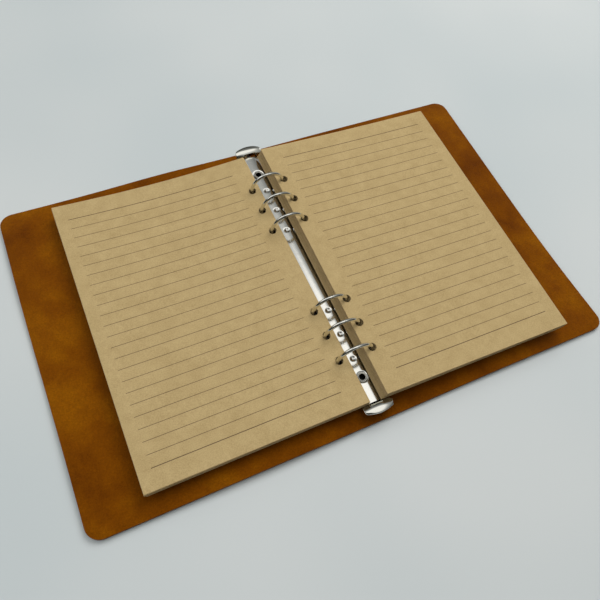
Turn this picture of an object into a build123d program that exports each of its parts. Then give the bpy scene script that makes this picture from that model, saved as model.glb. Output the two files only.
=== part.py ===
"""Six-ring A5 binder, lying open: a leather cover, a ring mechanism and two stacks of sheets.

Units are millimetres. X runs across the open book and Y from the foot of the sheets to their head.
Z is up. The origin is on the table, under the middle of the spine.
"""
import os
from math import asin, cos, degrees, radians, sin, sqrt, tan

from build123d import *

# ---- driving dimensions: leather cover
cover_width = 366.0
cover_height = 233.0
leather = 2.4
corner_radius = 9.0
spine_width = 33.0
fold_gap = 0.2

# ---- sheets
sheet_width = 142.0
sheet_height = 210.0
hole_inset = 5.3
hole_stations = (-73.0, -54.0, -35.0, 35.0, 54.0, 73.0)
packet_hole_dia = 7.4
left_packets = 4
left_packet_thick = 1.15
left_stack_lift = 0.2
left_slack = (-0.3, -0.8)
right_packets = 6
right_packet_thick = 1.28
right_stack_lift = 1.1
right_slack = (-1.0, 0.7)

# ---- rings
ring_radius = 12.1
wire_dia = 2.5
ring_dip = 0.3
ring_bend_lift = 1.86
foot_slope = 30.0
spigot_dia = 1.4
spigot_root = 0.3
spigot_head_dia = 2.2
spigot_head_thick = 0.35
spigot_head_clearance = 0.15
tip_gap = 0.1
nose_length = 0.6
nose_root_dia = 1.3
nose_tip_dia = 0.7
nose_clearance = 0.1

# ---- shell of the ring mechanism, which sits a little towards the head of the sheets
mechanism_offset = 1.3
shell_length = 211.2
shell_width = 15.6
shell_height = 5.8
shell_wall = 0.7
shell_side = 2.0
hem_width = 1.9
hem_height = 1.9
dimple_dia = 5.0
dimple_depth = 0.55
slot_clearance = 0.4
slot_foot_play = 0.6
slot_floor_drop = 0.1

# ---- rails under the shell
rail_length = 199.2
rail_thick = 0.8
rail_gap = 0.3
rail_tilt = 4.0
rail_seat_clearance = 0.05
rail_side_clearance = 0.1

# ---- rivets
rivet_station = 87.9
rivet_bore = 4.0
rivet_tube_dia = 5.2
rivet_flange_dia = 7.0
rivet_flange_thick = 0.5
rivet_head_dia = 9.0
rivet_head_thick = 0.7
rivet_clearance = 0.1
rivet_rim_radius = 0.3
rivet_well_margin = 0.3
rivet_well_depth = 0.5
rail_notch_clearance = 0.9

# ---- levers
lever_pivot_inset = 3.1
lever_pivot_lift = 3.2
trunnion_dia = 1.4
trunnion_clearance = 0.05
lever_neck_width = 8.4
lever_finger_width = 5.0
lever_finger_reach = 5.0
lever_lip_reach = 4.2
lever_hub_reach = 1.95
lever_tongue_thick = 0.8
lever_lip_thick = 0.6
lever_tongue_gap = 0.2
lever_lip_gap = 0.6
lever_neck_gap = 0.45
lever_neck_thick = 1.3
lever_neck_overlap = 1.6
lever_neck_sink = 0.5
lever_riser_gap = 0.15
tab_width = 20.4
tab_depth = 7.0
tab_lift = 9.6
tab_thick = 1.1
tab_curve_radius = 9.0
tab_crest_inset = 2.6
tab_outer_rounding = 0.75
tab_root_rounding = 0.2
tab_end_gap = 1.3

# ---- sizes worked out from the driving dimensions
shell_half = shell_width / 2
shell_inner_half = shell_half - shell_wall
hem_inner = shell_half - hem_width
shell_crown = leather + shell_height
shell_shoulder = leather + shell_side
arch_rise = shell_height - shell_side
inner_rise = arch_rise - shell_wall
hem_top = leather + hem_height
rail_hinge_x = shell_half - shell_wall - rail_thick / 2 - rail_side_clearance
rail_hinge_z = hem_top + rail_thick / 2 + rail_seat_clearance
rail_reach = (rail_hinge_x - rail_gap / 2) / cos(radians(rail_tilt))
foot_x = hem_inner - spigot_head_dia / 2 - spigot_head_clearance
foot_inset = (rail_hinge_x - foot_x) / cos(radians(rail_tilt))
# the rings' circle dips this little under the spine's upper face, whatever its radius
ring_centre_z = leather + ring_radius - ring_dip
# the bend below the round part starts at the same height over the shell, whatever the radius
ring_bend_start = 180 + degrees(asin((ring_centre_z - shell_crown - ring_bend_lift) / ring_radius))
wire_radius = wire_dia / 2
rivet_stations = (mechanism_offset - rivet_station, mechanism_offset + rivet_station)
well_floor = shell_crown - rivet_well_depth
well_dia = rivet_flange_dia + 2 * rivet_well_margin
lever_pivot_y = shell_length / 2 - lever_pivot_inset
lever_pivot_z = leather + lever_pivot_lift
slot_half = wire_radius + slot_clearance


def rod_x(z):
    """Distance of a ring's wire from the middle plane at height z, on its round part."""
    return sqrt(ring_radius**2 - (z - ring_centre_z) ** 2)


def rail_plane(side):
    """Plane in the middle of a rail: origin on its hinge, X inwards along the rail."""
    tilt = radians(rail_tilt)
    return Plane(
        origin=(side * rail_hinge_x, 0, rail_hinge_z),
        x_dir=(-side * cos(tilt), 0, -sin(tilt)),
        z_dir=(-side * sin(tilt), 0, cos(tilt)),
    )


def rail_top(side):
    return rail_plane(side).offset(rail_thick / 2)


def lever_axis(end):
    """Where the lever at one end turns: a location whose Z runs along its trunnions."""
    return Location((0, mechanism_offset + end * lever_pivot_y, lever_pivot_z), (0, 90, 0))


def keep(piece, name):
    """Label a finished sub-part and write its STEP file."""
    piece.part.label = name
    os.makedirs("parts", exist_ok=True)
    export_step(piece.part, f"parts/{name}.step")


# ---- leather cover: one sheet in the real object, split at its two folds
def cover_panel(side):
    inner_x = spine_width / 2 + fold_gap / 2
    panel_width = cover_width / 2 - inner_x
    with BuildPart() as panel:
        with BuildSketch():
            with Locations((side * (inner_x + panel_width / 2), 0)):
                Rectangle(panel_width, cover_height)
            fore_corners = vertices().group_by(Axis.X)[-1 if side > 0 else 0]
            fillet(fore_corners, corner_radius)
        extrude(amount=leather)
    return panel


def spine_panel():
    with BuildPart() as panel:
        with BuildSketch():
            Rectangle(spine_width - fold_gap, cover_height)
        extrude(amount=leather)
        with Locations(*[(0, y, 0) for y in rivet_stations]):
            Cylinder(
                rivet_tube_dia / 2 + rivet_clearance,
                leather,
                align=(Align.CENTER, Align.CENTER, Align.MIN),
                mode=Mode.SUBTRACT,
            )
            Cylinder(
                rivet_head_dia / 2 + rivet_clearance,
                rivet_head_thick + rivet_clearance,
                align=(Align.CENTER, Align.CENTER, Align.MIN),
                mode=Mode.SUBTRACT,
            )
    return panel


# ---- shell: arched strip whose long edges are rolled in to make seats for the rails
def shell_section():
    """Outline of the sheet metal across the shell, on the XZ plane."""
    hem_outer = hem_inner + shell_wall
    lip_top = leather + shell_wall
    right_edge = [
        (shell_half, shell_shoulder),
        (shell_half, leather),
        (hem_inner, leather),
        (hem_inner, hem_top),
        (hem_outer, hem_top),
        (hem_outer, lip_top),
        (shell_inner_half, lip_top),
        (shell_inner_half, shell_shoulder),
    ]
    left_edge = [(-x, z) for x, z in right_edge]
    Polyline(*right_edge)
    Polyline(*left_edge)
    EllipticalCenterArc((0, shell_shoulder), shell_half, arch_rise, start_angle=0, arc_size=180)
    EllipticalCenterArc((0, shell_shoulder), shell_inner_half, inner_rise, start_angle=0, arc_size=180)


def ring_shell():
    dimple_ball = ((dimple_dia / 2) ** 2 + dimple_depth**2) / (2 * dimple_depth)
    dimples = [(0, y, shell_crown - dimple_depth + dimple_ball) for y in hole_stations]
    backings = [(0, y, shell_crown - shell_wall) for y in hole_stations]
    wells = [(0, y, well_floor) for y in rivet_stations]
    slot_inner = rail_hinge_x - foot_inset - slot_foot_play
    slot_floor = rail_hinge_z - slot_floor_drop
    with BuildPart() as shell:
        with BuildSketch(Plane.XZ.offset(-mechanism_offset)):
            with BuildLine():
                shell_section()
            make_face()
        extrude(amount=shell_length / 2, both=True)
        # metal pressed down behind each dimple and each rivet well
        with Locations(*backings):
            Cylinder(dimple_dia / 2 + shell_wall, 2 * dimple_depth)
        with Locations(*wells):
            Cylinder(
                well_dia / 2 + shell_wall,
                shell_wall,
                align=(Align.CENTER, Align.CENTER, Align.MAX),
            )
        with Locations(*dimples):
            Sphere(dimple_ball, mode=Mode.SUBTRACT)
        with Locations(*wells):
            Cylinder(
                well_dia / 2,
                shell_height,
                align=(Align.CENTER, Align.CENTER, Align.MIN),
                mode=Mode.SUBTRACT,
            )
            Cylinder(rivet_tube_dia / 2 + rivet_clearance, 4 * shell_wall, mode=Mode.SUBTRACT)
        # slots in the shoulders for the feet of the rings
        for side in (-1, 1):
            with Locations(*[(side * slot_inner, y, slot_floor) for y in hole_stations]):
                Box(
                    shell_width,
                    2 * slot_half,
                    shell_height,
                    align=(Align.MAX if side < 0 else Align.MIN, Align.CENTER, Align.MIN),
                    mode=Mode.SUBTRACT,
                )
        # bearings for the levers' trunnions
        for end in (-1, 1):
            with Locations(lever_axis(end)):
                Cylinder(trunnion_dia / 2 + trunnion_clearance, shell_width, mode=Mode.SUBTRACT)
    return shell


# ---- rails: flat blades hinged at their outer edges on the shell's hems
def rail(side):
    foot_spots = [(foot_inset, y) for y in hole_stations]
    section = Plane(
        origin=(side * rail_hinge_x, mechanism_offset, rail_hinge_z),
        x_dir=rail_plane(side).x_dir,
        z_dir=(0, side, 0),
    )
    notch_radius = rivet_tube_dia / 2 + rail_notch_clearance
    with BuildPart() as blade:
        with BuildSketch(section):
            Circle(rail_thick / 2)
            with Locations((rail_reach / 2, 0)):
                Rectangle(rail_reach, rail_thick)
        extrude(amount=rail_length / 2, both=True)
        with BuildSketch(rail_plane(side)):
            with Locations(*foot_spots):
                Circle(spigot_dia / 2)
        extrude(amount=rail_thick, both=True, mode=Mode.SUBTRACT)
        with Locations(*[(0, y, rail_hinge_z) for y in rivet_stations]):
            Cylinder(notch_radius, shell_height, mode=Mode.SUBTRACT)
    return blade


# ---- half rings: round wire, bent in at the foot and staked through the rail
def ring_path(side, station):
    """Centre line of a half ring: round part, tighter bend, straight run to the foot."""
    slope = radians(foot_slope)
    bend_start = radians(ring_bend_start)
    foot = rail_top(side).from_local_coords(Vector(foot_inset, 0, 0))
    foot_out = -abs(foot.X)
    # the bend is tangent to the round part and to the straight run through the foot
    start_x = ring_radius * cos(bend_start)
    start_z = ring_centre_z + ring_radius * sin(bend_start)
    miss = (foot_out - start_x) * sin(slope) + (foot.Z - start_z) * cos(slope)
    turn = -1 - (sin(slope) * cos(bend_start) + cos(slope) * sin(bend_start))
    bend_radius = miss / turn
    centre_x = (ring_radius - bend_radius) * cos(bend_start)
    centre_z = ring_centre_z + (ring_radius - bend_radius) * sin(bend_start)
    bend_end = 270 - foot_slope
    end_x = centre_x + bend_radius * cos(radians(bend_end))
    end_z = centre_z + bend_radius * sin(radians(bend_end))
    run_end_x = foot_out + wire_radius
    run_end_z = foot.Z - wire_radius * tan(slope)
    tip_angle = 90 + degrees(asin(tip_gap / 2 / ring_radius))
    with BuildLine(Plane.XZ.offset(-station)) as path:
        CenterArc((0, ring_centre_z), ring_radius, tip_angle, ring_bend_start - tip_angle)
        CenterArc((centre_x, centre_z), bend_radius, ring_bend_start, bend_end - ring_bend_start)
        Line((end_x, end_z), (run_end_x, run_end_z))
        if side > 0:
            mirror(about=Plane.YZ, mode=Mode.REPLACE)
    return path.wire()


def half_ring(side, station):
    crown = ring_centre_z + ring_radius
    path = ring_path(side, station)
    tip = Plane(origin=(side * tip_gap / 2, station, crown), z_dir=(side, 0, 0))
    foot_plane = Plane(
        origin=rail_top(side).from_local_coords(Vector(foot_inset, 0, 0)) + Vector(0, station, 0),
        x_dir=rail_plane(side).x_dir,
        z_dir=rail_plane(side).z_dir,
    )
    widening = nose_clearance if side > 0 else 0
    with BuildPart() as ring:
        with BuildSketch(tip):
            Circle(wire_radius)
        sweep(path=path)
        split(bisect_by=rail_top(side), keep=Keep.TOP)
        # spigot through the rail, spread over underneath
        with BuildSketch(foot_plane.offset(spigot_root)):
            Circle(spigot_dia / 2)
        extrude(amount=-(spigot_root + rail_thick + spigot_head_thick / 2))
        with BuildSketch(foot_plane.offset(-rail_thick)):
            Circle(spigot_head_dia / 2)
        extrude(amount=-spigot_head_thick)
        # the left tip has a nose, and the right tip a socket for it
        nose_plane = Plane(origin=(-tip_gap / 2, station, crown), x_dir=(0, 1, 0), z_dir=(1, 0, 0))
        with BuildSketch(nose_plane):
            Circle(nose_root_dia / 2 + widening)
        with BuildSketch(nose_plane.offset(nose_length + widening)):
            Circle(nose_tip_dia / 2 + widening)
        loft(mode=Mode.ADD if side < 0 else Mode.SUBTRACT)
    return ring


# ---- rivets: hollow, curled over in the shell's well, with a flat head in the leather
def rivet(station):
    flange_top = well_floor + rivet_flange_thick
    with BuildPart() as tube:
        with BuildSketch(Plane.XZ.offset(-station)) as half:
            Rectangle(rivet_head_dia / 2, rivet_head_thick, align=(Align.MIN, Align.MIN))
            Rectangle(rivet_tube_dia / 2, flange_top, align=(Align.MIN, Align.MIN))
            with Locations((0, well_floor)):
                Rectangle(rivet_flange_dia / 2, rivet_flange_thick, align=(Align.MIN, Align.MIN))
            rim = half.vertices().group_by(Axis.Z)[-1].sort_by(Axis.X)[-1]
            fillet(rim, rivet_rim_radius)
            Rectangle(rivet_bore / 2, flange_top, align=(Align.MIN, Align.MIN), mode=Mode.SUBTRACT)
        revolve(axis=Axis((0, station, 0), (0, 0, 1)))
    return tube


# ---- levers: die-cast, rocking on trunnions in the shell's ends
def lever(end):
    """Lever at the foot (end -1) or head (end +1) of the mechanism; pressing its tab lifts the rails."""
    inner_edge_z = rail_hinge_z - rail_reach * sin(radians(rail_tilt))
    tongue_top = inner_edge_z - rail_thick / 2 - lever_tongue_gap
    tongue_bottom = tongue_top - lever_tongue_thick
    lip_bottom = inner_edge_z + rail_thick / 2 + lever_lip_gap
    lip_top = lip_bottom + lever_lip_thick
    hub_inner = lever_pivot_y - lever_hub_reach
    shell_end = shell_length / 2
    tab_root = shell_end + tab_end_gap
    tab_top = leather + tab_lift
    neck_share = lever_neck_width / 2 / shell_inner_half
    neck_top = shell_shoulder + inner_rise * sqrt(1 - neck_share**2) - lever_neck_gap
    neck_end_z = tab_top - lever_neck_sink
    neck_tip = tab_root + lever_neck_overlap
    section = Plane(origin=(0, mechanism_offset, 0), x_dir=(0, end, 0), z_dir=(end, 0, 0))
    with BuildPart() as arm:
        # hub and neck, which run out under the shell's end and rise to the tab
        with BuildSketch(section):
            with BuildLine():
                Polyline(
                    (hub_inner, tongue_bottom),
                    (hub_inner, lip_top),
                    (lever_pivot_y, neck_top),
                    (shell_end + lever_riser_gap, neck_top),
                    (tab_root, neck_end_z),
                    (neck_tip, neck_end_z),
                    (neck_tip, neck_end_z - lever_neck_thick),
                    (shell_end + 2 * lever_riser_gap, neck_top - lever_neck_thick),
                    (lever_pivot_y + trunnion_dia, tongue_bottom),
                    close=True,
                )
            make_face()
        extrude(amount=lever_neck_width / 2, both=True)
        # tongue under the rails and lip over them
        with BuildSketch(section):
            with Locations((lever_pivot_y, tongue_bottom)):
                Rectangle(lever_finger_reach, lever_tongue_thick, align=(Align.MAX, Align.MIN))
            with Locations((lever_pivot_y, lip_bottom)):
                Rectangle(lever_lip_reach, lever_lip_thick, align=(Align.MAX, Align.MIN))
        extrude(amount=lever_finger_width / 2, both=True)
        # trunnions
        trunnion_length = shell_width - 2 * shell_wall
        with Locations(lever_axis(end)):
            Cylinder(trunnion_dia / 2, trunnion_length)
    with BuildPart() as tab:
        # a curved plate, cut to a lens in plan
        with BuildSketch(section):
            with Locations((tab_root + tab_crest_inset, tab_top - tab_curve_radius)):
                Circle(tab_curve_radius)
                Circle(tab_curve_radius - tab_thick, mode=Mode.SUBTRACT)
        extrude(amount=tab_width / 2, both=True)
        # the rounding at each edge is a share of the tab's depth, so that it always fits
        with BuildSketch(Plane.XY.offset(leather)):
            with Locations((0, mechanism_offset + end * (tab_root + tab_depth / 2))):
                Rectangle(tab_width, tab_depth)
            outer = vertices().group_by(Axis.Y)[-1 if end > 0 else 0]
            fillet(outer, tab_depth * tab_outer_rounding)
            root = vertices().group_by(Axis.Y)[0 if end > 0 else -1]
            fillet(root, tab_depth * tab_root_rounding)
        extrude(amount=tab_lift + tab_thick, mode=Mode.INTERSECT)
    with BuildPart() as whole:
        add(arm.part)
        add(tab.part)
    return whole


# ---- packets of sheets, each a little further out than the one below, as the rings lead them
def sheet_packet(side, bottom, thick, hole_x):
    centre_x = side * (hole_x - hole_inset + sheet_width / 2)
    with BuildPart() as packet:
        with BuildSketch(Plane.XY.offset(bottom)):
            with Locations((centre_x, 0)):
                Rectangle(sheet_width, sheet_height)
            with Locations(*[(side * hole_x, y) for y in hole_stations]):
                Circle(packet_hole_dia / 2, mode=Mode.SUBTRACT)
        extrude(amount=thick)
    return packet


def stack(side, label, count, thick, lift, slack):
    """Packets from the bottom up; slack is the play of the holes on the rings, low and high."""
    for index in range(count):
        bottom = shell_crown + lift + index * thick
        share = index / max(count - 1, 1)
        play = slack[0] + share * (slack[1] - slack[0])
        hole_x = rod_x(bottom + thick / 2) + play
        keep(sheet_packet(side, bottom, thick, hole_x), f"{label}_sheets_{index + 1}")


for side, label in ((-1, "left"), (1, "right")):
    keep(cover_panel(side), f"{label}_cover_panel")
    keep(rail(side), f"{label}_rail")
    for number, station in enumerate(hole_stations, start=1):
        keep(half_ring(side, station), f"{label}_ring_half_{number}")
keep(spine_panel(), "spine_panel")
keep(ring_shell(), "ring_shell")
for end, label, station in zip((-1, 1), ("front", "back"), rivet_stations):
    keep(rivet(station), f"{label}_rivet")
    keep(lever(end), f"{label}_lever")
stack(-1, "left", left_packets, left_packet_thick, left_stack_lift, left_slack)
stack(1, "right", right_packets, right_packet_thick, right_stack_lift, right_slack)
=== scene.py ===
"""An open six-ring leather binder with ruled kraft sheets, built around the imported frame.

Everything is in metres in the frame's axes: X across the open book, Y to the head of the sheets, Z up.
Sizes that are easier to read in millimetres are multiplied by mm where they are used.
"""
import math

import bmesh
import bpy
import numpy as np
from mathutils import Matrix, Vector


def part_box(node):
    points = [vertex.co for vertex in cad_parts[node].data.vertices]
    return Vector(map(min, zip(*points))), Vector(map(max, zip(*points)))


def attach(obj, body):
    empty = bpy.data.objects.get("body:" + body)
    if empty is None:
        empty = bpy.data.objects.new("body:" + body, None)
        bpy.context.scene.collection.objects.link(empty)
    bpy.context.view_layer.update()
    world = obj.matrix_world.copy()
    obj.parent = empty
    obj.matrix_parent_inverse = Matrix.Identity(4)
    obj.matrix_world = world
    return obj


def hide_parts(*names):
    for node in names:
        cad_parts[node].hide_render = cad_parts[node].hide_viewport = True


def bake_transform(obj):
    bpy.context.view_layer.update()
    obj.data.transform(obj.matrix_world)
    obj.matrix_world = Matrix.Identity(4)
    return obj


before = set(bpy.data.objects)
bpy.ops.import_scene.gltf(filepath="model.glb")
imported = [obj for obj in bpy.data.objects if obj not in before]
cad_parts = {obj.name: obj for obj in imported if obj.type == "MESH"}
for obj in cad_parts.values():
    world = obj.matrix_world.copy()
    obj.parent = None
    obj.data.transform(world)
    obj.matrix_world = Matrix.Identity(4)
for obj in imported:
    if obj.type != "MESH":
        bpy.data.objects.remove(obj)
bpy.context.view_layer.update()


# ---------------------------------------------------------------- leather cover
# One piece of thick oiled cowhide, unlined, cut with rounded corners and left raw at its edges.
# It is riveted to the ring mechanism along the middle and folds in two soft bends beside it.
# Here it is two halves that meet under the mechanism, and each lies flat from the spine to its fore edge with
# gentle waves.
mm = 0.001


def finish_mesh(obj, smooth_angle=math.radians(35)):
    """Merge doubles, point the faces outwards and shade smooth with sharp corners kept."""
    shell = bmesh.new()
    shell.from_mesh(obj.data)
    bmesh.ops.remove_doubles(shell, verts=shell.verts, dist=1e-7)
    bmesh.ops.recalc_face_normals(shell, faces=shell.faces)
    shell.to_mesh(obj.data)
    shell.free()
    obj.data.shade_smooth()
    obj.data.set_sharp_from_angle(angle=smooth_angle)
    return obj


def new_object(name, vertices, faces):
    mesh = bpy.data.meshes.new(name)
    mesh.from_pydata([tuple(v) for v in vertices], [], faces)
    obj = bpy.data.objects.new(name, mesh)
    bpy.context.scene.collection.objects.link(obj)
    return obj


def baked(obj):
    """Replace a piece's mesh with what its modifiers make of it, and drop the modifiers."""
    depsgraph = bpy.context.evaluated_depsgraph_get()
    mesh = bpy.data.meshes.new_from_object(obj.evaluated_get(depsgraph))
    obj.modifiers.clear()
    obj.data = mesh
    return obj


def feed(tree, value, socket):
    """Link a value that comes from a node to this socket, or set a plain one on it."""
    if isinstance(value, bpy.types.NodeSocket):
        tree.links.new(value, socket)
    elif value is not None:
        socket.default_value = value


def new_material(name, **values):
    """A Principled material with plain values on its own sockets; returns it, its tree and shader."""
    material = bpy.data.materials.new(name)
    material.use_nodes = True
    shader = material.node_tree.nodes["Principled BSDF"]
    for socket, value in values.items():
        shader.inputs[socket.replace("_", " ").title().replace("Ior", "IOR")].default_value = value
    return material, material.node_tree, shader


def object_coordinates(tree):
    return tree.nodes.new("ShaderNodeTexCoord").outputs["Object"]


def noise(tree, coordinates, scale, detail=4.0, roughness=0.55, distortion=0.0):
    node = tree.nodes.new("ShaderNodeTexNoise")
    node.inputs["Scale"].default_value = scale
    node.inputs["Detail"].default_value = detail
    node.inputs["Roughness"].default_value = roughness
    node.inputs["Distortion"].default_value = distortion
    tree.links.new(coordinates, node.inputs["Vector"])
    return node.outputs["Fac"]


def ramp(tree, factor, stops):
    node = tree.nodes.new("ShaderNodeValToRGB")
    while len(node.color_ramp.elements) < len(stops):
        node.color_ramp.elements.new(0.5)
    for element, (place, colour) in zip(node.color_ramp.elements, stops):
        element.position = place
        element.color = (*colour, 1.0)
    tree.links.new(factor, node.inputs["Fac"])
    return node.outputs["Color"]


def socket_named(sockets, identifier):
    return next(socket for socket in sockets if socket.identifier == identifier)


def mix_colours(tree, factor, first, second, blend_type="MIX"):
    node = tree.nodes.new("ShaderNodeMix")
    node.data_type = "RGBA"
    node.blend_type = blend_type
    feed(tree, factor, socket_named(node.inputs, "Factor_Float"))
    feed(tree, first, socket_named(node.inputs, "A_Color"))
    feed(tree, second, socket_named(node.inputs, "B_Color"))
    return socket_named(node.outputs, "Result_Color")


def calculate(tree, operation, first, second=0.0, third=None, clamp=False):
    node = tree.nodes.new("ShaderNodeMath")
    node.operation = operation
    node.use_clamp = clamp
    for value, socket in zip((first, second, third), node.inputs):
        feed(tree, value, socket)
    return node.outputs["Value"]


def bump(tree, shader, height, strength, distance):
    node = tree.nodes.new("ShaderNodeBump")
    node.inputs["Strength"].default_value = strength
    node.inputs["Distance"].default_value = distance
    feed(tree, height, node.inputs["Height"])
    feed(tree, node.outputs["Normal"], shader.inputs["Normal"])


def leather_material():
    """Oiled pull-up leather: blotched where the wax has moved, with fine pores and grain."""
    dark, middle, light = (0.110, 0.027, 0.0006), (0.170, 0.048, 0.0008), (0.245, 0.082, 0.0014)
    dark_speck, pale_speck = (0.72, 0.72, 0.72), (1.22, 1.18, 1.15)
    sheen = (0.95, 0.42, 0.06, 1.0)
    blotch_share = 0.62
    smoothest, roughness_spread = 0.42, 0.30
    pore_rim, pore_depth, grain_depth = 0.25, 1.6, 0.9
    material, tree, shader = new_material("oiled tan leather", specular_ior_level=0.30, specular_tint=sheen)
    place = object_coordinates(tree)
    blotch = noise(tree, place, scale=14.0, detail=5.0, roughness=0.6, distortion=0.6)
    cloud = noise(tree, place, scale=55.0, detail=4.0, roughness=0.6)
    grain = noise(tree, place, scale=900.0, detail=5.0, roughness=0.7)
    pores = tree.nodes.new("ShaderNodeTexVoronoi")
    pores.feature = "DISTANCE_TO_EDGE"
    pores.inputs["Scale"].default_value = 1100.0
    feed(tree, place, pores.inputs["Vector"])
    clouded = calculate(tree, "MULTIPLY", cloud, 1 - blotch_share)
    tone = calculate(tree, "MULTIPLY_ADD", blotch, blotch_share, clouded)
    base = ramp(tree, tone, [(0.36, dark), (0.50, middle), (0.66, light)])
    speckle = ramp(tree, grain, [(0.30, dark_speck), (0.70, pale_speck)])
    feed(tree, mix_colours(tree, 1.0, base, speckle, "MULTIPLY"), shader.inputs["Base Color"])
    rough = calculate(tree, "MULTIPLY_ADD", cloud, roughness_spread, smoothest)
    feed(tree, rough, shader.inputs["Roughness"])
    skin = calculate(tree, "MINIMUM", pores.outputs["Distance"], pore_rim)
    grained = calculate(tree, "MULTIPLY", grain, grain_depth)
    height = calculate(tree, "MULTIPLY_ADD", skin, pore_depth, grained)
    bump(tree, shader, height, strength=0.55, distance=0.00022)
    return material


def swell(x, y, height, centre, spread):
    """How high a rounded rise in the hide is at (x, y), from its height, centre and spread each way."""
    return height * math.exp(-(((x - centre[0]) / spread[0]) ** 2) - ((y - centre[1]) / spread[1]) ** 2)


def leather_lift(x, y):
    """How far the hide stands off the table, in mm: it waves gently and settles at its corners."""
    back_hump = swell(x, y, height=1.6, centre=(-66, 118), spread=(42, 60))
    front_wave = swell(x, y, height=2.2, centre=(-75, -118), spread=(75, 46))
    right_wave = swell(x, y, height=1.3, centre=(105, -112), spread=(60, 50))
    curl_height, curl_place, curl_width, curl_length = 1.2, -184, 26, 140
    curl = curl_height * math.exp(-(((x - curl_place) / curl_width) ** 2))
    fore_curl = curl * (0.5 - 0.5 * math.cos(2 * math.pi * y / curl_length))
    return back_hump + front_wave + right_wave + fore_curl


def leather_half(side):
    """Half of the hide, from the middle of the spine to one fore edge, as a closed slab."""
    name = "left" if side < 0 else "right"
    panel_low, panel_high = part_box(f"{name}_cover_panel")
    thick = (panel_high.z - panel_low.z) / mm
    half_height = panel_high.y / mm
    fore = max(-panel_low.x, panel_high.x) / mm
    fold = min(abs(panel_low.x), abs(panel_high.x)) / mm
    corner, worn_edge = 9.0, 0.55
    # the columns stand closer beside the spine, where the hide would fold, and round the corners
    spine_columns = [0, 5, 10, 14]
    bend_columns = [fold + step * 1.25 for step in range(12)]
    flat_columns = list(np.linspace(fold + 18, fore - corner, 22))
    corner_columns = [fore - corner + corner * math.sin(a) for a in np.linspace(0.15, math.pi / 2, 9)]
    columns = spine_columns + bend_columns + flat_columns + corner_columns
    rows = np.linspace(-1, 1, 48)
    # cut by hand and pulled out of square in use: the left fore edge bows out, the right one in
    turn, towards_head = math.radians(0.55), 0.8
    left_bow, right_hollow, hollow_place, hollow_length = 1.1, 2.0, -25, 62
    fore_wander, fore_wander_length = 0.3, 31
    end_wander, end_wander_length = 0.25, 41
    vertices = []
    for x in columns:
        into_corner = max(0.0, x - (fore - corner))
        reach = half_height - corner + math.sqrt(max(corner**2 - into_corner**2, 0.0))
        for row in rows:
            px, py = side * x, row * reach
            bow = left_bow if side < 0 else -right_hollow * math.cos((py - hollow_place) / hollow_length)
            bow += fore_wander * math.sin(py / fore_wander_length + 0.8)
            px += side * bow * (x / fore) ** 6
            py += towards_head + end_wander * math.sin(px / end_wander_length) * abs(row) ** 8
            qx = px * math.cos(turn) - py * math.sin(turn)
            qy = px * math.sin(turn) + py * math.cos(turn)
            vertices.append((qx * mm, qy * mm, (thick / 2 + leather_lift(px, py)) * mm))
    count = len(rows)
    faces = [
        (c * count + r, c * count + r + 1, (c + 1) * count + r + 1, (c + 1) * count + r)
        for c in range(len(columns) - 1)
        for r in range(count - 1)
    ]
    hide = new_object(f"leather_cover_{name}", vertices, faces)
    if side > 0:
        hide.data.flip_normals()
    slab = hide.modifiers.new("hide", "SOLIDIFY")
    slab.thickness = thick * mm
    slab.offset = 0.0
    edge = hide.modifiers.new("worn edge", "BEVEL")
    edge.width = worn_edge * mm
    edge.segments = 3
    edge.limit_method = "ANGLE"
    edge.angle_limit = math.radians(50)
    finish_mesh(baked(hide), math.radians(60))
    hide.data.materials.clear()
    hide.data.materials.append(tan_leather)
    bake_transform(hide)
    return hide


tan_leather = leather_material()
left_hide = leather_half(-1)
right_hide = leather_half(1)
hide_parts("left_cover_panel", "spine_panel")
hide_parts("right_cover_panel")


# ---------------------------------------------------------------- stacks of kraft sheets
# Loose A5 sheets of uncoated brown kraft paper, ruled with 24 fine lines and punched with six holes.
# They hang on the rings, so each sheet sits where the ring's curve leads it, and the stack droops outwards.
# The sheet's own sizes are in mm, and the ring's are in metres.
sheet_wide = 142.0
sheet_high = 210.0
sheet_thick = 0.105
hole_inset = 5.4
hole_radius = 2.95
ring_mean_radius = 12.1 * mm
ring_centre = 14.2 * mm
half_ring_boxes = [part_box(f"left_ring_half_{n}") for n in range(1, 7)]
ring_stations = [0.5 * (low.y + high.y) for low, high in half_ring_boxes]


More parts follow.
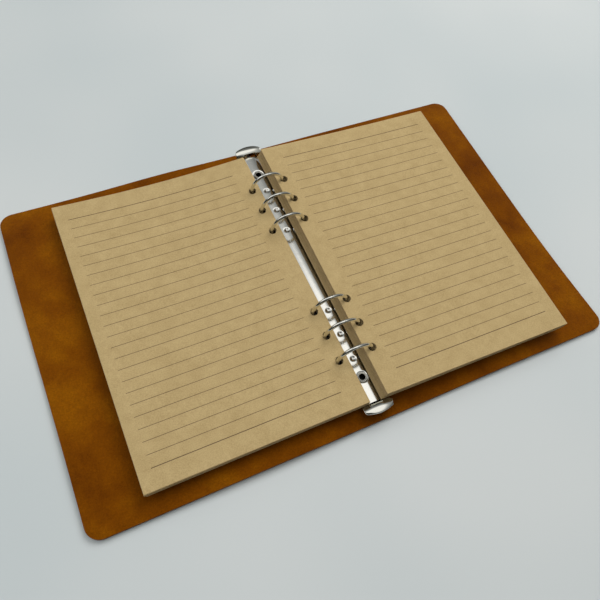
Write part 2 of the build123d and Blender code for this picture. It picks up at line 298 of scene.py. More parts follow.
def kraft_material(name, inner_margin, outer_margin):
    """Kraft paper with fibres and printed rules; each cut edge takes its sheet's tone, lightened as painted
    light, and the hole walls are darkened as painted shade.
    """
    dark_pulp, pale_pulp = (0.400, 0.285, 0.128), (0.560, 0.420, 0.208)
    brown_ink = (0.075, 0.048, 0.030, 1)
    # the cut edges' colours are paler than the pulp: painted light on the stack's shaded sides; each bundle's
    # random tone is picked between them
    dark_edge, pale_edge = (0.31, 0.205, 0.105, 1), (0.92, 0.71, 0.43, 1)
    # the hole walls are painted near black: painted shade inside the punched holes
    hole_wall_shade_colour = (0.045, 0.028, 0.012, 1)
    fibre_share, ink_strength, hole_wall_shade_strength = 0.7, 0.88, 0.9
    # in mm: the first rule's place below the head, the spacing, and half a rule's width
    first_rule, pitch, fine, heavier = 12.5, 8.0, 0.17, 0.08
    rules = 24
    material, tree, shader = new_material(name, roughness=0.86, specular_ior_level=0.22)

    def maths(operation, *values):
        return calculate(tree, operation, *values)

    def distance(value, centre):
        return maths("ABSOLUTE", maths("SUBTRACT", value, centre))

    def attribute(label):
        node = tree.nodes.new("ShaderNodeAttribute")
        node.attribute_name = label
        return node.outputs["Fac"]

    place = object_coordinates(tree)
    fibre = noise(tree, place, scale=1500.0, detail=3.0, roughness=0.7)
    cloud = noise(tree, place, scale=120.0, detail=4.0, roughness=0.6)
    pulp = maths("MULTIPLY_ADD", fibre, fibre_share, maths("MULTIPLY", cloud, 1 - fibre_share))
    paper = ramp(tree, pulp, [(0.34, dark_pulp), (0.66, pale_pulp)])
    page = tree.nodes.new("ShaderNodeUVMap")
    page.uv_map = "page"
    across_and_down = tree.nodes.new("ShaderNodeSeparateXYZ")
    feed(tree, page.outputs["UV"], across_and_down.inputs["Vector"])
    across, down = across_and_down.outputs["X"], across_and_down.outputs["Y"]
    # the first and last rules are heavier
    steps = maths("DIVIDE", maths("SUBTRACT", down, first_rule), pitch)
    nearest = maths("ROUND", steps)
    off_rule = maths("MULTIPLY", distance(steps, nearest), pitch)
    from_middle_rule = distance(nearest, (rules - 1) / 2)
    heavy = maths("GREATER_THAN", from_middle_rule, (rules - 2) / 2)
    ink = maths("LESS_THAN", off_rule, maths("MULTIPLY_ADD", heavy, heavier, fine))
    on_page = maths("LESS_THAN", from_middle_rule, rules / 2)
    middle = (inner_margin + sheet_wide - outer_margin) / 2
    half_span = (sheet_wide - outer_margin - inner_margin) / 2
    in_margins = maths("LESS_THAN", distance(across, middle), half_span)
    printed = maths("MULTIPLY", maths("MULTIPLY", ink, on_page), in_margins)
    ruled = mix_colours(tree, maths("MULTIPLY", printed, ink_strength), paper, brown_ink)
    # each cut edge: its bundle's random tone between these lightened colours, and darker as painted shade for
    # the sheets in the stack's gap
    edge_tone_with_painted_light = mix_colours(tree, attribute("sheet_tone_and_gap_shade"), dark_edge, pale_edge)
    # painted shade darkens the hole walls
    edge = mix_colours(tree, maths("MULTIPLY", attribute("hole_wall_shade"), hole_wall_shade_strength), edge_tone_with_painted_light, hole_wall_shade_colour)
    feed(tree, mix_colours(tree, attribute("cut_edge"), ruled, edge), shader.inputs["Base Color"])
    bump(tree, shader, pulp, strength=0.25, distance=0.00008)
    return material


def punched_sheet(name):
    """One flat sheet with its bound edge's hole line on the origin, running out along +X."""
    margin = 2 * hole_inset
    shares = (0, 0.06, 0.14, 0.24, 0.36, 0.5, 0.66, 0.83, 1)
    columns = [margin + (sheet_wide - margin) * share for share in shares]
    stations = [y / mm for y in ring_stations]
    hole_rows = [y + s * hole_inset for y in stations for s in (-1, 1)]
    rows = sorted([-sheet_high / 2, sheet_high / 2] + hole_rows)
    segments = 24
    vertices, faces, cut_faces, hole_wall_shade_faces, known = [], [], [], [], {}

    def vertex(x, y, level):
        key = (round(x, 4), round(y, 4), level)
        if key not in known:
            known[key] = len(vertices)
            vertices.append(((x - hole_inset) * mm, y * mm, level * sheet_thick * mm))
        return known[key]

    def both_faces(points):
        for level in (0, 1):
            face = [vertex(x, y, level) for x, y in points]
            faces.append(face if level else face[::-1])

    def wall(a, b):
        cut_faces.append(len(faces))
        faces.append([vertex(*a, 0), vertex(*b, 0), vertex(*b, 1), vertex(*a, 1)])

    for low, high in zip(rows, rows[1:]):
        centre = 0.5 * (low + high)
        for left, right in zip(columns, columns[1:]):
            both_faces([(left, low), (right, low), (right, high), (left, high)])
        if min(abs(centre - y) for y in stations) > 0.1:
            both_faces([(0, low), (margin, low), (margin, high), (0, high)])
            continue
        circle = []
        for step in range(segments):
            angle = 2 * math.pi * step / segments
            x, y = hole_inset + hole_radius * math.cos(angle), centre + hole_radius * math.sin(angle)
            circle.append((x, y))
        quarter = segments // 4
        corners = [(margin, high), (0, high), (0, low), (margin, low)]
        for index, corner in enumerate(corners):
            start = index * quarter
            for step in range(quarter):
                both_faces([corner, circle[(start + step + 1) % segments], circle[start + step]])
            both_faces([corners[index - 1], corner, circle[start]])
        # the hole walls are marked for their painted shade
        for step in range(segments):
            hole_wall_shade_faces.append(len(faces))
            wall(circle[step], circle[(step + 1) % segments])
    outline_x = [0] + columns
    for y in (rows[0], rows[-1]):
        for left, right in zip(outline_x, outline_x[1:]):
            wall((left, y), (right, y))
    for low, high in zip(rows, rows[1:]):
        wall((0, low), (0, high))
        wall((sheet_wide, low), (sheet_wide, high))
    sheet = new_object(name, vertices, faces)
    page = sheet.data.uv_layers.new(name="page")
    for loop in sheet.data.loops:
        x, y, _ = sheet.data.vertices[loop.vertex_index].co
        page.data[loop.index].uv = (x / mm + hole_inset, sheet_high / 2 - y / mm)
    # the cut edges and the hole walls with their painted shade are marked on the faces
    for label, marked in (("cut_edge", cut_faces), ("hole_wall_shade", hole_wall_shade_faces)):
        marks = sheet.data.attributes.new(label, "FLOAT", "FACE")
        for face in marked:
            marks.data[face].value = 1.0
    tidy = bmesh.new()
    tidy.from_mesh(sheet.data)
    bmesh.ops.recalc_face_normals(tidy, faces=tidy.faces)
    tidy.to_mesh(sheet.data)
    tidy.free()
    return sheet


def new_tree(name, **inputs):
    """An empty Geometry Nodes tree with its two geometry sockets and these named inputs."""
    tree = bpy.data.node_groups.new(name, "GeometryNodeTree")
    tree.interface.new_socket("Geometry", in_out="INPUT", socket_type="NodeSocketGeometry")
    for label, kind in inputs.items():
        label = label.replace("_", " ").title()
        tree.interface.new_socket(label, in_out="INPUT", socket_type=f"NodeSocket{kind}")
    tree.interface.new_socket("Geometry", in_out="OUTPUT", socket_type="NodeSocketGeometry")
    return tree


def grow(obj, tree, **sizes):
    """Run a tree on a piece with these sizes, and keep the plain mesh that comes out."""
    modifier = obj.modifiers.new(tree.name, "NODES")
    modifier.node_group = tree
    inputs = [item for item in tree.interface.items_tree if item.in_out == "INPUT"]
    identifiers = {item.name: item.identifier for item in inputs}
    for label, value in sizes.items():
        modifier[identifiers[label.replace("_", " ").title()]] = value
    return baked(obj)


def stack_tree():
    """Geometry Nodes: sheets one above the other, led sideways by the ring and drooping outwards."""
    sizes = ["pitch", "bottom", "side", "ring_radius", "ring_centre", "low_play", "high_play", "skew"]
    sizes += ["low_droop", "high_droop", "head_sag", "gap_share", "foot_lift", "width"]
    kinds = {"count": "Int", **dict.fromkeys(sizes, "Float"), "seed": "Int", "paper": "Material"}
    tree = new_tree("stack of sheets", **kinds)
    nodes = tree.nodes
    given = nodes.new("NodeGroupInput").outputs
    result = nodes.new("NodeGroupOutput")
    bundle_pace, bundle_shift, bundle_contrast, middle_tone = 0.27, 1.3 * mm, 1.8, 0.42
    # the last of these darkens the edges of the sheets in the gap: painted shade
    gap_width, gap_depth, gap_painted_shade = 0.035, 1.1 * mm, -0.6
    shift_play, height_play, skew_play, tone_play = 0.08 * mm, 0.16 * mm, math.radians(0.05), 0.20

    def maths(operation, *values, clamp=False):
        return calculate(tree, operation, *values, clamp=clamp)

    def graded(share, low, high):
        """From low to high as share goes from 0 to 1."""
        return maths("MULTIPLY_ADD", share, maths("SUBTRACT", high, low), low)

    def node(kind, **inputs):
        made = nodes.new(kind)
        for label, value in inputs.items():
            feed(tree, value, made.inputs[label.replace("_", " ")])
        return made

    def shake(amount, extra_seed):
        made = nodes.new("FunctionNodeRandomValue")
        made.data_type = "FLOAT"
        socket_named(made.inputs, "Min_001").default_value = -amount
        socket_named(made.inputs, "Max_001").default_value = amount
        feed(tree, maths("ADD", given["Seed"], extra_seed), made.inputs["Seed"])
        return socket_named(made.outputs, "Value_001")

    def vector(x=0.0, y=0.0, z=0.0):
        return node("ShaderNodeCombineXYZ", X=x, Y=y, Z=z).outputs["Vector"]

    def position():
        return node("ShaderNodeSeparateXYZ", Vector=nodes.new("GeometryNodeInputPosition").outputs[0]).outputs

    def layer_at(height):
        return maths("DIVIDE", maths("SUBTRACT", height, given["Bottom"]), total)

    line = node("GeometryNodeMeshLine", Count=given["Count"], Start_Location=vector(z=given["Bottom"]))
    feed(tree, vector(z=given["Pitch"]), line.inputs["Offset"])
    total = maths("MULTIPLY", given["Count"], given["Pitch"])
    height = position()["Z"]
    share = layer_at(height)
    play = graded(share, given["Low Play"], given["High Play"])
    above = maths("SUBTRACT", height, given["Ring Centre"])
    square = maths("MULTIPLY", given["Ring Radius"], given["Ring Radius"])
    rod = maths("SQRT", maths("SUBTRACT", square, maths("MULTIPLY", above, above)))
    # sheets were filed in small bundles, so neighbours share most of their shift and their shade
    order = nodes.new("GeometryNodeInputIndex").outputs[0]
    bundle = nodes.new("ShaderNodeTexNoise")
    bundle.noise_dimensions = "1D"
    bundle.inputs["Scale"].default_value = 1.0
    bundle.inputs["Detail"].default_value = 1.5
    feed(tree, maths("MULTIPLY_ADD", order, bundle_pace, given["Seed"]), bundle.inputs["W"])
    grouped = maths("SUBTRACT", bundle.outputs["Fac"], 0.5)
    # two lots were filed at different times, so a few sheets between them stand back, and their edges are
    # darkened as painted shade in that gap
    from_gap = maths("DIVIDE", maths("SUBTRACT", share, given["Gap Share"]), gap_width)
    gap = maths("SUBTRACT", 1.0, maths("ABSOLUTE", from_gap), clamp=True)
    stand_back = maths("MULTIPLY_ADD", gap, gap_depth, shake(shift_play, 1))
    shift = maths("MULTIPLY_ADD", grouped, bundle_shift, stand_back)
    out = maths("ADD", maths("ADD", rod, play), shift)
    bundle_tone = maths("MULTIPLY_ADD", grouped, bundle_contrast, middle_tone)
    # painted shade: the sheets in the gap get a darker edge tone
    tone_and_gap_shade = maths("MULTIPLY_ADD", gap, gap_painted_shade, bundle_tone)
    tone = maths("ADD", tone_and_gap_shade, shake(tone_play, 5))
    along = vector(x=maths("MULTIPLY", out, given["Side"]), y=shake(height_play, 2))
    led = node("GeometryNodeSetPosition", Geometry=line.outputs[0], Offset=along)
    twist = maths("ADD", given["Skew"], shake(skew_play, 3))
    facing = maths("MULTIPLY", maths("SUBTRACT", 1.0, given["Side"]), math.pi / 2)
    sheets = node(
        "GeometryNodeInstanceOnPoints",
        Points=led.outputs[0],
        Instance=given["Geometry"],
        Rotation=vector(z=maths("ADD", twist, facing)),
    )
    # each sheet's edge tone is stored on its instance: random per bundle, with painted shade in the gap
    toned = node("GeometryNodeStoreNamedAttribute", Geometry=sheets.outputs[0], Name="sheet_tone_and_gap_shade")
    toned.data_type = "FLOAT"
    toned.domain = "INSTANCE"
    feed(tree, tone, toned.inputs["Value"])
    real = node("GeometryNodeRealizeInstances", Geometry=toned.outputs[0])
    place = position()
    far = maths("DIVIDE", maths("ABSOLUTE", place["X"]), given["Width"], clamp=True)
    bend = maths("MULTIPLY", far, maths("SUBTRACT", 2.0, far))
    layer = layer_at(place["Z"])
    droop = graded(layer, given["Low Droop"], given["High Droop"])
    # the head of the stack also sags between the rings and the fore edge
    headwards = maths("MULTIPLY_ADD", place["Y"], 1 / (sheet_high * mm), 0.5, clamp=True)
    belly = maths("SINE", maths("MULTIPLY", far, math.pi))
    sag = maths("MULTIPLY", maths("MULTIPLY", belly, given["Head Sag"]), headwards)
    fall = maths("MULTIPLY_ADD", droop, bend, sag)
    # towards its foot the stack is looser, so its upper sheets stand higher
    footwards = maths("MULTIPLY_ADD", place["Y"], -1 / (sheet_high * mm), 0.5, clamp=True)
    loose = maths("MULTIPLY", maths("MULTIPLY", layer, footwards), given["Foot Lift"])
    rise = maths("SUBTRACT", loose, fall)
    hung = node("GeometryNodeSetPosition", Geometry=real.outputs[0], Offset=vector(z=rise))
    painted = node("GeometryNodeSetMaterial", Geometry=hung.outputs[0], Material=given["Paper"])
    feed(tree, painted.outputs[0], result.inputs[0])
    return tree


def sheet_stack(label, side, count, **sizes):
    """Run the tree on one punched sheet, and let the plain result ride with that side's pages."""
    packets = sorted(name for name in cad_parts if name.startswith(f"{label}_sheets_"))
    bottom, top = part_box(packets[0])[0].z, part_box(packets[-1])[1].z
    sheet = grow(
        punched_sheet(f"sheets_{label}"),
        paper_tree,
        count=count,
        pitch=(top - bottom) / count,
        bottom=bottom,
        side=side,
        ring_radius=ring_mean_radius,
        ring_centre=ring_centre,
        width=150 * mm,
        **sizes,
    )
    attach(sheet, f"{label}_pages")
    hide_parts(*packets)


paper_tree = stack_tree()
sheet_stack(
    "left",
    side=-1.0,
    count=36,
    low_play=-0.35 * mm,
    high_play=-0.85 * mm,
    skew=math.radians(0.34),
    low_droop=-0.1 * mm,
    high_droop=0.4 * mm,
    head_sag=3.2 * mm,
    gap_share=0.6,
    foot_lift=1.0 * mm,
    seed=4,
    paper=kraft_material("kraft paper, back page", inner_margin=13.5, outer_margin=8.0),
)
sheet_stack(
    "right",
    side=1.0,
    count=60,
    low_play=-1.25 * mm,
    high_play=0.85 * mm,
    skew=math.radians(-0.34),
    low_droop=-0.3 * mm,
    high_droop=2.5 * mm,
    head_sag=0.3 * mm,
    gap_share=0.36,
    foot_lift=0.0,
    seed=9,
    paper=kraft_material("kraft paper, front page", inner_margin=13.3, outer_margin=9.1),
)


# ---------------------------------------------------------------- shell of the ring mechanism
# A long strip of steel pressed to an arch, with its edges rolled in under it and bright nickel plated.
# A small dimple is pressed into its crown at each ring, and a flat well near each end takes a rivet.
def nickel_material(name, colour, roughness):
    """Plating: a mirror with faint ripples from the pressing and a haze that varies a little."""
    roughness_spread = 0.10
    material, tree, shader = new_material(name, metallic=1.0, base_color=(*colour, 1.0))
    place = object_coordinates(tree)
    haze = noise(tree, place, scale=240.0, detail=4.0)
    hazy = calculate(tree, "MULTIPLY_ADD", haze, roughness_spread, roughness - roughness_spread / 2)
    feed(tree, hazy, shader.inputs["Roughness"])
    ripple = noise(tree, place, scale=130.0, detail=2.0)
    bump(tree, shader, ripple, strength=0.30, distance=0.00012)
    return material


def bright_shell():
    low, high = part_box("ring_shell")
    wall = 0.7 * mm
    side_height, hem_width, hem_height = 2.0 * mm, 1.2 * mm, 1.9 * mm
    slot_half, slot_inner = 1.65 * mm, 4.0 * mm
    dimple_radius, dimple_depth = 2.3 * mm, 0.9 * mm
    well_radius, well_slope, well_depth, rivet_hole = 4.3 * mm, 0.5 * mm, 0.5 * mm, 2.5 * mm
    wells = [0.5 * (a.y + b.y) for a, b in (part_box("front_rivet"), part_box("back_rivet"))]
    # across: up the rolled-in hem, round the side, over the arch and down again
    half = (high.x - low.x) / 2 - wall / 2
    shoulder = low.z + side_height
    rise = high.z - wall / 2 - shoulder
    hem_x = half - hem_width
    hem = [(hem_x, low.z + hem_height), (hem_x, low.z + wall / 2), (half, low.z + wall / 2)]
    arch = []
    arch_steps = 40
    for step in range(arch_steps + 1):
        angle = math.pi * step / arch_steps
        arch.append((half * math.cos(angle), shoulder + rise * math.sin(angle)))
    section = hem + arch + [(-x, z) for x, z in reversed(hem)]
    # along: closer rows at the dimples, the slots and the wells
    closest = 0.12 * mm
    rows = {low.y, high.y, *np.linspace(low.y, high.y, 61)}
    for station in ring_stations:
        rows.update(station + offset * mm for offset in np.linspace(-3.0, 3.0, 21))
        rows.update((station - slot_half, station + slot_half))
    for station in wells:
        rows.update(station + offset * mm for offset in np.linspace(-4.8, 4.8, 33))
    ordered = []
    for y in sorted(rows):
        if not ordered or y - ordered[-1] > closest:
            ordered.append(y)
    ordered[-1] = high.y

    def pressed(x, y):
        """How far the arch is pressed down at (x, y) by a dimple or a well."""
        depth = 0.0
        for station in ring_stations:
            away = math.hypot(x, y - station) / dimple_radius
            if away < 1:
                depth = max(depth, dimple_depth * (1 - away**2) ** 1.3)
        for station in wells:
            away = math.hypot(x, y - station)
            depth = max(depth, well_depth * min(1.0, max(0.0, (well_radius - away) / well_slope)))
        return depth

    vertices = [(x, y, z - pressed(x, y)) for y in ordered for x, z in section]
    count = len(section)
    faces = []
    for row in range(len(ordered) - 1):
        y = 0.5 * (ordered[row] + ordered[row + 1])
        at_slot = min(abs(y - station) for station in ring_stations) < slot_half
        for col in range(count - 1):
            x = 0.5 * (section[col][0] + section[col + 1][0])
            z = 0.5 * (section[col][1] + section[col + 1][1])
            in_slot = at_slot and abs(x) > slot_inner and z > shoulder + 0.2 * mm
            in_hole = min(math.hypot(x, y - station) for station in wells) < rivet_hole and z > shoulder
            if in_slot or in_hole:
                continue
            first = row * count + col
            faces.append((first, first + 1, first + count + 1, first + count))
    shell = new_object("bright_ring_shell", vertices, faces)
    plate = shell.modifiers.new("sheet metal", "SOLIDIFY")
    plate.thickness = wall
    plate.offset = 0.0
    finish_mesh(baked(shell), math.radians(50))
    shell.data.materials.clear()
    shell.data.materials.append(shell_plating)
    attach(shell, "spine")
    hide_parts("ring_shell")


shell_plating = nickel_material("bright nickel on the shell", colour=(0.74, 0.735, 0.69), roughness=0.13)
bright_shell()


# ---------------------------------------------------------------- rings
# Six rings of round steel wire, nickel plated, each in two halves that meet at the crown.
# Every half is bent in at its foot, goes through a slot in the shell's shoulder and is staked to its rail.
def ring_wire_path(foot_x, foot_z):
    """Centre line of a left half ring in its own plane, from the crown to the foot, as (x, z) in mm."""
    radius, centre = ring_mean_radius / mm, ring_centre / mm
    crown, bend_start, bend_end, slope = (math.radians(angle) for angle in (90.25, 200, 240, 30))
    run_on, drop = 1.2, 0.7
    start_x, start_z = radius * math.cos(bend_start), centre + radius * math.sin(bend_start)
    # the bend's radius is the one that leads the straight foot to its place on the rail
    miss = (foot_x - start_x) * math.sin(slope) + (foot_z - start_z) * math.cos(slope)
    bend = miss / (-1 - math.sin(slope) * math.cos(bend_start) - math.cos(slope) * math.sin(bend_start))
    bend_x = (radius - bend) * math.cos(bend_start)
    bend_z = centre + (radius - bend) * math.sin(bend_start)
    path = []
    for angle in np.linspace(crown, bend_start, 40):
        path.append((radius * math.cos(angle), centre + radius * math.sin(angle)))
    for angle in np.linspace(bend_start, bend_end, 9)[1:]:
        path.append((bend_x + bend * math.cos(angle), bend_z + bend * math.sin(angle)))
    run_x, run_z = path[-1]
    for share in (0.5, 1.0):
        path.append((run_x + share * (foot_x + run_on - run_x), run_z + share * (foot_z - drop - run_z)))
    return path


def half_ring_mesh(label, side):
    """Round wire along the path; the left tip has a small nose and the right one a socket for it."""
    wire, around = 1.25, 20
    foot_x, foot_z = -4.65, 5.02
    rail_tilt, rail_gap, foot_sections = math.radians(4), 0.02, 6
    # tip, as (how far ahead, radius): an edge radius, then the nose or the socket
    tip_gap, tip_edge = 0.06, (0.10, 1.18)
    nose, socket = [(0.10, 0.62), (0.66, 0.36)], [(0.10, 0.75), (-0.60, 0.45)]
    path = ring_wire_path(foot_x, foot_z)
    turns = [2 * math.pi * step / around for step in range(around)]
    vertices, faces = [], []
    for index, (x, z) in enumerate(path):
        before, after = path[max(index - 1, 0)], path[min(index + 1, len(path) - 1)]
        along = math.atan2(after[1] - before[1], after[0] - before[0])
        for angle in turns:
            out = wire * math.cos(angle)
            px, pz = x - out * math.sin(along), z + out * math.cos(along)
            # the foot is flattened on the rail
            if index >= len(path) - foot_sections:
                pz = max(pz, foot_z + rail_gap - (px - foot_x) * math.tan(rail_tilt))
            vertices.append((-side * px * mm, wire * math.sin(angle) * mm, pz * mm))
    for index in range(len(path) - 1):
        for step in range(around):
            here, there = index * around, (index + 1) * around
            nxt = (step + 1) % around
            faces.append((here + step, here + nxt, there + nxt, there + step))
    tip_x, crown_z = path[0]
    previous = list(range(around))
    for ahead, reach in [tip_edge] + (nose if side < 0 else socket):
        ring = []
        for angle in turns:
            ring.append(len(vertices))
            x, z = tip_x + ahead - tip_gap, crown_z + reach * math.cos(angle)
            vertices.append((-side * x * mm, reach * math.sin(angle) * mm, z * mm))
        for step in range(around):
            nxt = (step + 1) % around
            faces.append((previous[step], previous[nxt], ring[nxt], ring[step]))
        previous = ring
    faces.append(previous)
    last = (len(path) - 1) * around
    faces.append([last + step for step in range(around)])
    half = new_object(f"ring_halves_{label}", vertices, faces)
    return finish_mesh(half, math.radians(40))


def along_the_rail_tree():
    """Geometry Nodes: one half ring repeated at each station of its rail."""
    tree = new_tree("rings along the rail", count="Int", pitch="Float", first="Float", plating="Material")
    given = tree.nodes.new("NodeGroupInput").outputs
    group_of_three = tree.nodes.new("GeometryNodeMeshLine")
    offset = tree.nodes.new("ShaderNodeCombineXYZ")
    start = tree.nodes.new("ShaderNodeCombineXYZ")
    mirrored = tree.nodes.new("GeometryNodeTransform")
    mirrored.inputs["Scale"].default_value = (1, -1, 1)
    stations = tree.nodes.new("GeometryNodeJoinGeometry")
    place = tree.nodes.new("GeometryNodeInstanceOnPoints")
    real = tree.nodes.new("GeometryNodeRealizeInstances")
    paint = tree.nodes.new("GeometryNodeSetMaterial")
    result = tree.nodes.new("NodeGroupOutput")
    links = [
        (given["Count"], group_of_three.inputs["Count"]),
        (given["Pitch"], offset.inputs["Y"]),
        (given["First"], start.inputs["Y"]),
        (offset.outputs[0], group_of_three.inputs["Offset"]),
        (start.outputs[0], group_of_three.inputs["Start Location"]),
        (group_of_three.outputs[0], mirrored.inputs[0]),
        (group_of_three.outputs[0], stations.inputs[0]),
        (mirrored.outputs[0], stations.inputs[0]),
        (stations.outputs[0], place.inputs["Points"]),
        (given["Geometry"], place.inputs["Instance"]),
        (place.outputs[0], real.inputs[0]),
        (real.outputs[0], paint.inputs[0]),
        (given["Plating"], paint.inputs["Material"]),
        (paint.outputs[0], result.inputs[0]),
    ]
    for source, target in links:
        tree.links.new(source, target)
    return tree


rail_tree = along_the_rail_tree()
ring_plating = nickel_material("bright nickel on the wire", colour=(0.74, 0.73, 0.67), roughness=0.12)
for label, side in (("left", -1), ("right", 1)):
    halves = grow(
        half_ring_mesh(label, side),
        rail_tree,
        count=3,
        pitch=ring_stations[5] - ring_stations[4],
        first=ring_stations[3],
        plating=ring_plating,
    )
    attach(halves, f"{label}_rings")
    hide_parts(*[f"{label}_ring_half_{n}" for n in range(1, 7)])


# ---------------------------------------------------------------- rails
# Two flat steel blades under the shell that carry the half rings; they aren't plated.
def rail_steel():
    dark, pale = (0.42, 0.42, 0.41), (0.60, 0.60, 0.58)
    material, tree, shader = new_material("rolled steel", metallic=1.0, roughness=0.36)
    stretch = tree.nodes.new("ShaderNodeMapping")
    stretch.inputs["Scale"].default_value = (1.0, 0.03, 1.0)
    feed(tree, object_coordinates(tree), stretch.inputs["Vector"])
    rolled = noise(tree, stretch.outputs["Vector"], scale=1500.0, detail=3.0)
    feed(tree, ramp(tree, rolled, [(0.3, dark), (0.7, pale)]), shader.inputs["Base Color"])
    bump(tree, shader, rolled, strength=0.2, distance=0.00005)
    return material


steel = rail_steel()
for label in ("left", "right"):
    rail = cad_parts[f"{label}_rail"].data
    rail.materials.clear()
    rail.materials.append(steel)


# ---------------------------------------------------------------- rivets
# Hollow rivets of nickel-plated steel through the shell's wells and the leather.
# Their upper ends are curled over into a rounded flange, and their flat heads sit in the hide's outside.
def hollow_rivet(name):
    low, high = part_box(name)
    middle_y = 0.5 * (low.y + high.y)
    top, base = high.z / mm, low.z / mm
    bore, tube, flange, head = 2.0, 2.6, 3.5, (high.x - low.x) / 2 / mm
    # the bore stops at a floor, which takes the painted shade below
    floor = 3.0
    head_thick, head_edge = 0.7, 0.25
    rim_drop, rim_round, rim_in = 0.62, 0.3, 0.32
    curl, curl_drop = 0.45, 0.42
    # from the bore's floor down the middle, out round the head, up the tube and over the curled rim
    profile = [(0.0, floor), (0.0, base), (head - head_edge, base), (head, base + head_edge)]
    profile += [(head - 0.1, base + head_thick), (tube, base + head_thick)]
    profile += [(tube, top - rim_drop), (flange - rim_round, top - rim_drop)]
    for angle in np.linspace(-math.pi / 2, math.pi / 2, 7):
        x, z = flange - rim_in + rim_in * math.cos(angle), top - rim_round + rim_round * math.sin(angle)
        profile.append((x, z))
    for angle in np.linspace(0.25 * math.pi, math.pi, 7):
        profile.append((bore + curl + curl * math.cos(angle), top - curl_drop + curl_drop * math.sin(angle)))
    profile.append((bore, floor))
    around = 40
    vertices, faces = [], []
    for step in range(around):
        turn = 2 * math.pi * step / around
        for radius, z in profile:
            vertices.append((radius * mm * math.cos(turn), middle_y + radius * mm * math.sin(turn), z * mm))
    count = len(profile)
    for step in range(around):
        here, there = step * count, ((step + 1) % around) * count
        for point in range(count):
            nxt = (point + 1) % count
            faces.append((here + point, here + nxt, there + nxt, there + point))
    rivet = finish_mesh(new_object(f"hollow_{name}", vertices, faces), math.radians(45))
    rivet.data.materials.append(rivet_plating)
    rivet.data.materials.append(painted_bore_shade)
    # the bore's wall and the floor that closes it are painted near black: painted shade down the hollow rivet
    for face in rivet.data.polygons:
        from_axis = math.hypot(face.center.x, face.center.y - middle_y)
        if from_axis < (bore + 0.02) * mm and face.center.z > (base + 0.3) * mm:
            face.material_index = 1
    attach(rivet, "spine")
    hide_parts(name)


rivet_plating = nickel_material("dulled nickel on the rivets", colour=(0.40, 0.395, 0.36), roughness=0.22)
# near black, as painted shade in the rivets' bores
painted_bore_shade = nickel_material("painted shade inside the rivets", colour=(0.035, 0.032, 0.03), roughness=0.45)
for rivet_name in ("front_rivet", "back_rivet"):
    hollow_rivet(rivet_name)


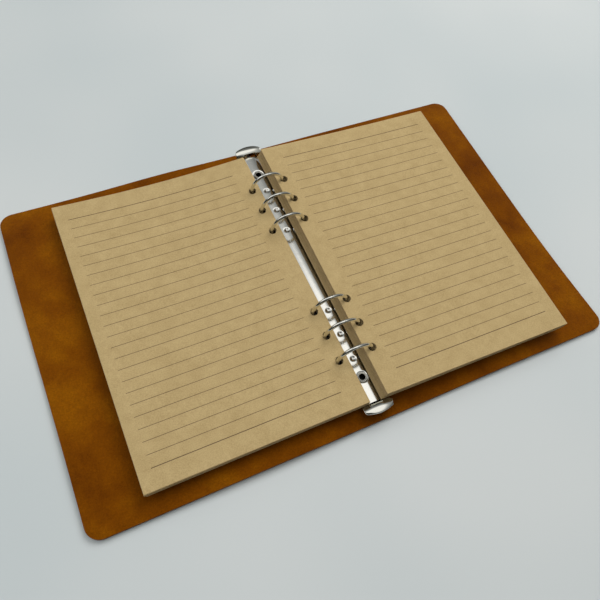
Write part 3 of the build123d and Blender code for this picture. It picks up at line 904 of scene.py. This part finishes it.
# ---------------------------------------------------------------- opening levers
# Nickel-plated levers that rock in the ends of the shell. The thumb tab is a shallow cap, wide and
# rounded on its outer edge, with its rim turned down; its neck runs into the shell to lift the rails.
def lever_piece(name, end):
    low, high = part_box(name)
    shell_low, shell_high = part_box("ring_shell")
    tab_gap, wall = 1.3 * mm, 0.7 * mm
    corner_round, corner_share, end_depth = 0.7 * mm, 0.14, 2.4 * mm
    corner_depth = 2.5 * mm
    tab_half, tab_top = high.x, high.z
    tab_outer = max(end * low.y, end * high.y)
    tab_inner = (shell_high.y if end > 0 else -shell_low.y) + tab_gap
    across = np.linspace(-1, 1, 41)
    rows = (0.0, 0.04, 0.10, 0.20, 0.32, 0.45, 0.58, 0.72, 0.85, 0.94, 1.0)

    def outline(s):
        """Inner and outer edge of the tab at share s of its half width: square ends, bowed outer edge."""
        into_corner = max(0.0, (abs(s) - (1 - corner_share)) / corner_share)
        corner = math.sqrt(max(0.0, 1 - into_corner**2))
        bow = (tab_outer - tab_inner - end_depth - corner_depth) * (1 - s * s)
        inner = tab_inner + corner_round * (1 - corner)
        return inner, tab_inner + bow + end_depth + corner_depth * corner

    def top(s, t):
        """A cap: it climbs from the shell to a curved crest, and beyond that it's an almost flat lens."""
        crest = 0.50 + 0.32 * s * s
        climb, fall, end_fall = 1.7, 0.5, 1.1
        if t < crest:
            below = climb * ((crest - t) / crest) ** 1.7
        else:
            below = fall * ((t - crest) / (1 - crest)) ** 2
        return tab_top - (end_fall * abs(s) ** 2.4 + below) * mm

    def rim(t):
        """Height of the turned-down rim: deep on the inner side, shallow at the outer edge."""
        shallow, deeper = 1.3, 3.3
        return (shallow + deeper * (1 - t) ** 1.5) * mm

    vertices, faces, depths = [], [], []
    for s in across:
        inner, outer = outline(s)
        for t in rows:
            depths.append(rim(t))
            vertices.append((s * tab_half, end * (inner + t * (outer - inner)), top(s, t)))
    count = len(rows)
    for col in range(len(across) - 1):
        for row in range(count - 1):
            first = col * count + row
            faces.append((first, first + 1, first + count + 1, first + count))
    # the border is walked once and turned down
    border = list(range(count))
    border += [col * count + count - 1 for col in range(1, len(across))]
    border += [(len(across) - 1) * count + row for row in range(count - 2, -1, -1)]
    border += [col * count for col in range(len(across) - 2, 0, -1)]
    middle = Vector((0, end * 0.5 * (tab_inner + tab_outer), 0))
    loops = [border]
    for drop, spread in ((0.12, 0.13), (0.35, 0.22), (1.0, 0.25)):
        ring = []
        for index in border:
            spot = Vector(vertices[index])
            away = (spot - middle) * Vector((1, 1, 0))
            out = away.normalized() * spread * mm
            ring.append(len(vertices))
            vertices.append((spot.x + out.x, spot.y + out.y, spot.z - drop * depths[index]))
        loops.append(ring)
    for upper, lower in zip(loops, loops[1:]):
        for index in range(len(upper)):
            nxt = (index + 1) % len(upper)
            faces.append((upper[index], upper[nxt], lower[nxt], lower[index]))
    tab = new_object(f"lever_{name.split('_')[0]}", vertices, faces)
    plate = tab.modifiers.new("plate", "SOLIDIFY")
    finish_mesh(tab, math.radians(50))
    plate.thickness = wall
    plate.offset = -1.0
    baked(tab)
    # neck, hub, tongue and lip: the working part, kept from the frame's own shape below the tab
    neck_half, into_tab, before_tab = 4.25 * mm, 1.2 * mm, 0.6 * mm
    body = bmesh.new()
    body.from_mesh(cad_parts[name].data)
    bmesh.ops.remove_doubles(body, verts=body.verts, dist=1e-6)
    cut = bmesh.ops.bisect_plane(
        body,
        geom=list(body.verts) + list(body.edges) + list(body.faces),
        plane_co=(0, end * (tab_inner + into_tab), 0),
        plane_no=(0, end, 0),
        clear_outer=True,
    )
    edges = [e for e in cut["geom_cut"] if isinstance(e, bmesh.types.BMEdge)]
    bmesh.ops.holes_fill(body, edges=edges)
    outer_verts = [v for v in body.verts if abs(v.co.y) > tab_inner - before_tab]
    bmesh.ops.delete(body, geom=[v for v in outer_verts if abs(v.co.x) > neck_half], context="VERTS")
    body.from_mesh(tab.data)
    body.to_mesh(tab.data)
    body.free()
    tab.data.shade_smooth()
    tab.data.set_sharp_from_angle(angle=math.radians(40))
    tab.data.materials.clear()
    tab.data.materials.append(lever_plating)
    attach(tab, name)
    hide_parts(name)


lever_plating = nickel_material("bright nickel on the levers", colour=(0.66, 0.655, 0.60), roughness=0.08)
lever_piece("front_lever", -1)
lever_piece("back_lever", 1)


# ---------------------------------------------------------------- table, light and camera
# A plain pale matt table, lit by a soft window light from behind on the right and a weak fill from the left.
# The dim room round it adds a little light from above, and it is what the bright metal mirrors.
def pale_table():
    size, below = 2.2, 0.0001
    dark, pale = (0.545, 0.595, 0.605), (0.625, 0.655, 0.655)
    corners = [(-size, -size, -below), (size, -size, -below), (size, size, -below), (-size, size, -below)]
    table = new_object("pale_table", corners, [(0, 1, 2, 3)])
    material, tree, shader = new_material("matt table top", roughness=0.7, specular_ior_level=0.15)
    cloud = noise(tree, object_coordinates(tree), scale=3.1, detail=2.0)
    feed(tree, ramp(tree, cloud, [(0.35, dark), (0.65, pale)]), shader.inputs["Base Color"])
    table.data.materials.append(material)


def area_light(name, place, size, power, colour):
    """A soft light aimed at the middle of the table; mirrors don't show it."""
    data = bpy.data.lights.new(name, "AREA")
    data.shape = "RECTANGLE"
    data.size, data.size_y = size
    data.energy = power
    data.color = colour
    lamp = bpy.data.objects.new(name, data)
    lamp.location = place
    lamp.visible_glossy = False
    lamp.rotation_euler = (-Vector(place)).to_track_quat("-Z", "Y").to_euler()
    bpy.context.scene.collection.objects.link(lamp)


def soft_room():
    """A dim room: a pale ceiling, a faint window, a bright lamp and panel, and the onlooker's dark patch."""
    world = bpy.data.worlds.new("soft room")
    world.use_nodes = True
    tree = world.node_tree
    back = tree.nodes["Background"]
    direction = tree.nodes.new("ShaderNodeTexCoord").outputs["Generated"]
    split = tree.nodes.new("ShaderNodeSeparateXYZ")
    feed(tree, direction, split.inputs[0])
    # height of the direction, and the room's tone there
    walls = [
        (0.0, (0.03, 0.03, 0.025)),
        (0.35, (0.06, 0.062, 0.055)),
        (0.62, (0.22, 0.225, 0.22)),
        (0.78, (0.44, 0.45, 0.44)),
        (0.86, (0.74, 0.75, 0.74)),
        (0.92, (1.0, 1.0, 1.0)),
    ]
    # where each patch lies, where its soft edge starts and is full, and its colour
    patches = {
        "window": ((0.85, 0.45, 0.30), 0.86, 0.93, (0.35, 0.35, 0.34, 1.0)),
        "lamp": ((0.15, 0.10, 0.98), 0.90, 0.96, (1.5, 1.48, 1.44, 1.0)),
        "panel": ((-0.50, 0.62, 0.60), 0.93, 0.97, (1.7, 1.7, 1.7, 1.0)),
        "onlooker": ((-0.33, -0.60, 0.72), 0.84, 0.93, (0.03, 0.03, 0.025, 1.0)),
    }
    seen = ramp(tree, split.outputs["Z"], walls)
    for towards, start, full, colour in patches.values():
        dot = tree.nodes.new("ShaderNodeVectorMath")
        dot.operation = "DOT_PRODUCT"
        dot.inputs[1].default_value = Vector(towards).normalized()
        feed(tree, direction, dot.inputs[0])
        soft = tree.nodes.new("ShaderNodeMapRange")
        soft.interpolation_type = "SMOOTHSTEP"
        soft.inputs["From Min"].default_value = start
        soft.inputs["From Max"].default_value = full
        feed(tree, dot.outputs["Value"], soft.inputs["Value"])
        seen = mix_colours(tree, soft.outputs["Result"], seen, colour)
    feed(tree, seen, back.inputs["Color"])
    back.inputs["Strength"].default_value = 0.85
    bpy.context.scene.world = world


def camera_view():
    data = bpy.data.cameras.new("view")
    data.sensor_width = 36.0
    data.lens = 36.62
    data.clip_start = 0.01
    camera = bpy.data.objects.new("view", data)
    camera.location = (-0.1313, -0.1895, 0.3664)
    camera.rotation_euler = [math.radians(angle) for angle in (29.185, -6.068, -23.987)]
    bpy.context.scene.collection.objects.link(camera)
    bpy.context.scene.camera = camera


pale_table()
soft_room()
area_light("window", place=(0.85, 0.62, 1.25), size=(1.3, 1.0), power=16.2, colour=(1.0, 0.99, 0.97))
area_light("left fill", place=(-0.9, -0.2, 0.7), size=(0.8, 0.8), power=2.4, colour=(0.93, 0.98, 1.0))
camera_view()
bpy.context.scene.view_settings.view_transform = "Standard"
